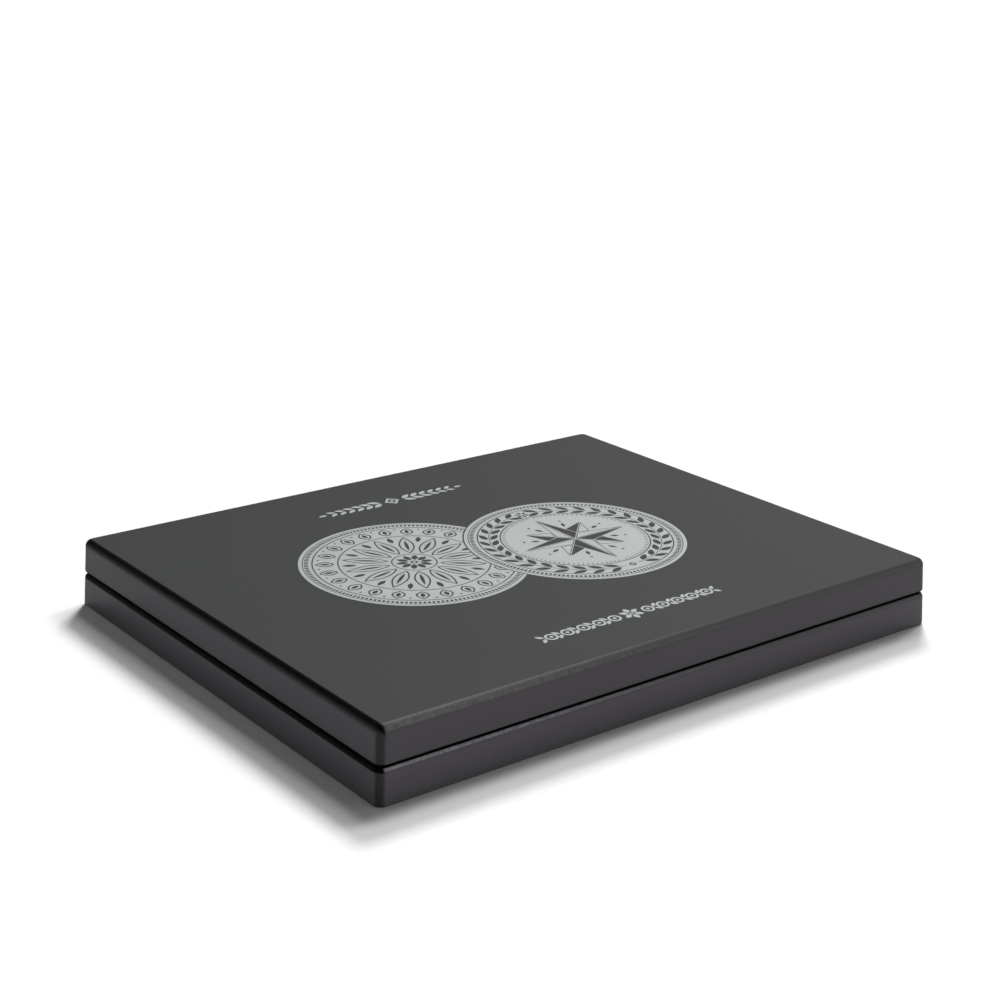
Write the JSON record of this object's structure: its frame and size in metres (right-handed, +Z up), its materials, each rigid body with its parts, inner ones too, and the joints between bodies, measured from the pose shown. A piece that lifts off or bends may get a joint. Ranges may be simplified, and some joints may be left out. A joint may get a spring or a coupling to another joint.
{
  "type": "coin case",
  "caption": "Flat black lacquered wooden coin case with a hinged lid, a velour tray of round recesses, a padded satin lining and magnet catches.",
  "frame": {"origin": "middle of the underside of the base, without the hinge barrels that stand out behind", "axes": "+X along the front edge to the right, +Y from the front to the hinges, +Z up"},
  "size_m": [0.305, 0.2477, 0.03],
  "materials": {
    "lacquer": "smooth satin black lacquer over fibreboard",
    "fibreboard": "raw sawn fibreboard",
    "velour": "short black velour",
    "satin": "padded black satin",
    "card": "grey board",
    "hinge_steel": "nickel-plated, fine drawn grain",
    "screw_steel": "nickel-plated, turned",
    "magnet": "bright nickel-plated disc"
  },
  "bodies": {
    "base": {"base_front_rail": "lacquer", "base_rear_rail": "lacquer", "base_left_rail": "lacquer", "base_right_rail": "lacquer", "base_bottom_panel": "lacquer", "insert_riser": "fibreboard", "insert_floor": "velour", "insert_board": "velour", "base_magnet_left": "magnet", "base_magnet_right": "magnet", "hinge_left_base_leaf": "hinge_steel", "hinge_left_pin": "hinge_steel", "hinge_left_base_screw_outer": "screw_steel", "hinge_left_base_screw_inner": "screw_steel", "hinge_right_base_leaf": "hinge_steel", "hinge_right_pin": "hinge_steel", "hinge_right_base_screw_outer": "screw_steel", "hinge_right_base_screw_inner": "screw_steel"},
    "lid": {"lid_front_rail": "lacquer", "lid_rear_rail": "lacquer", "lid_left_rail": "lacquer", "lid_right_rail": "lacquer", "lid_top_panel": "lacquer", "lid_pad_board": "card", "lid_pad": "satin", "lid_magnet_left": "magnet", "lid_magnet_right": "magnet", "hinge_left_lid_leaf": "hinge_steel", "hinge_left_lid_screw_outer": "screw_steel", "hinge_left_lid_screw_inner": "screw_steel", "hinge_right_lid_leaf": "hinge_steel", "hinge_right_lid_screw_outer": "screw_steel", "hinge_right_lid_screw_inner": "screw_steel"}
  },
  "joints": [
    {"name": "lid_hinge", "type": "hinge", "parent": "base", "child": "lid", "pos_m": [0, 0.1225, 0.015], "axis": [-1, 0, 0], "range_deg": [0, 98]}
  ]
}
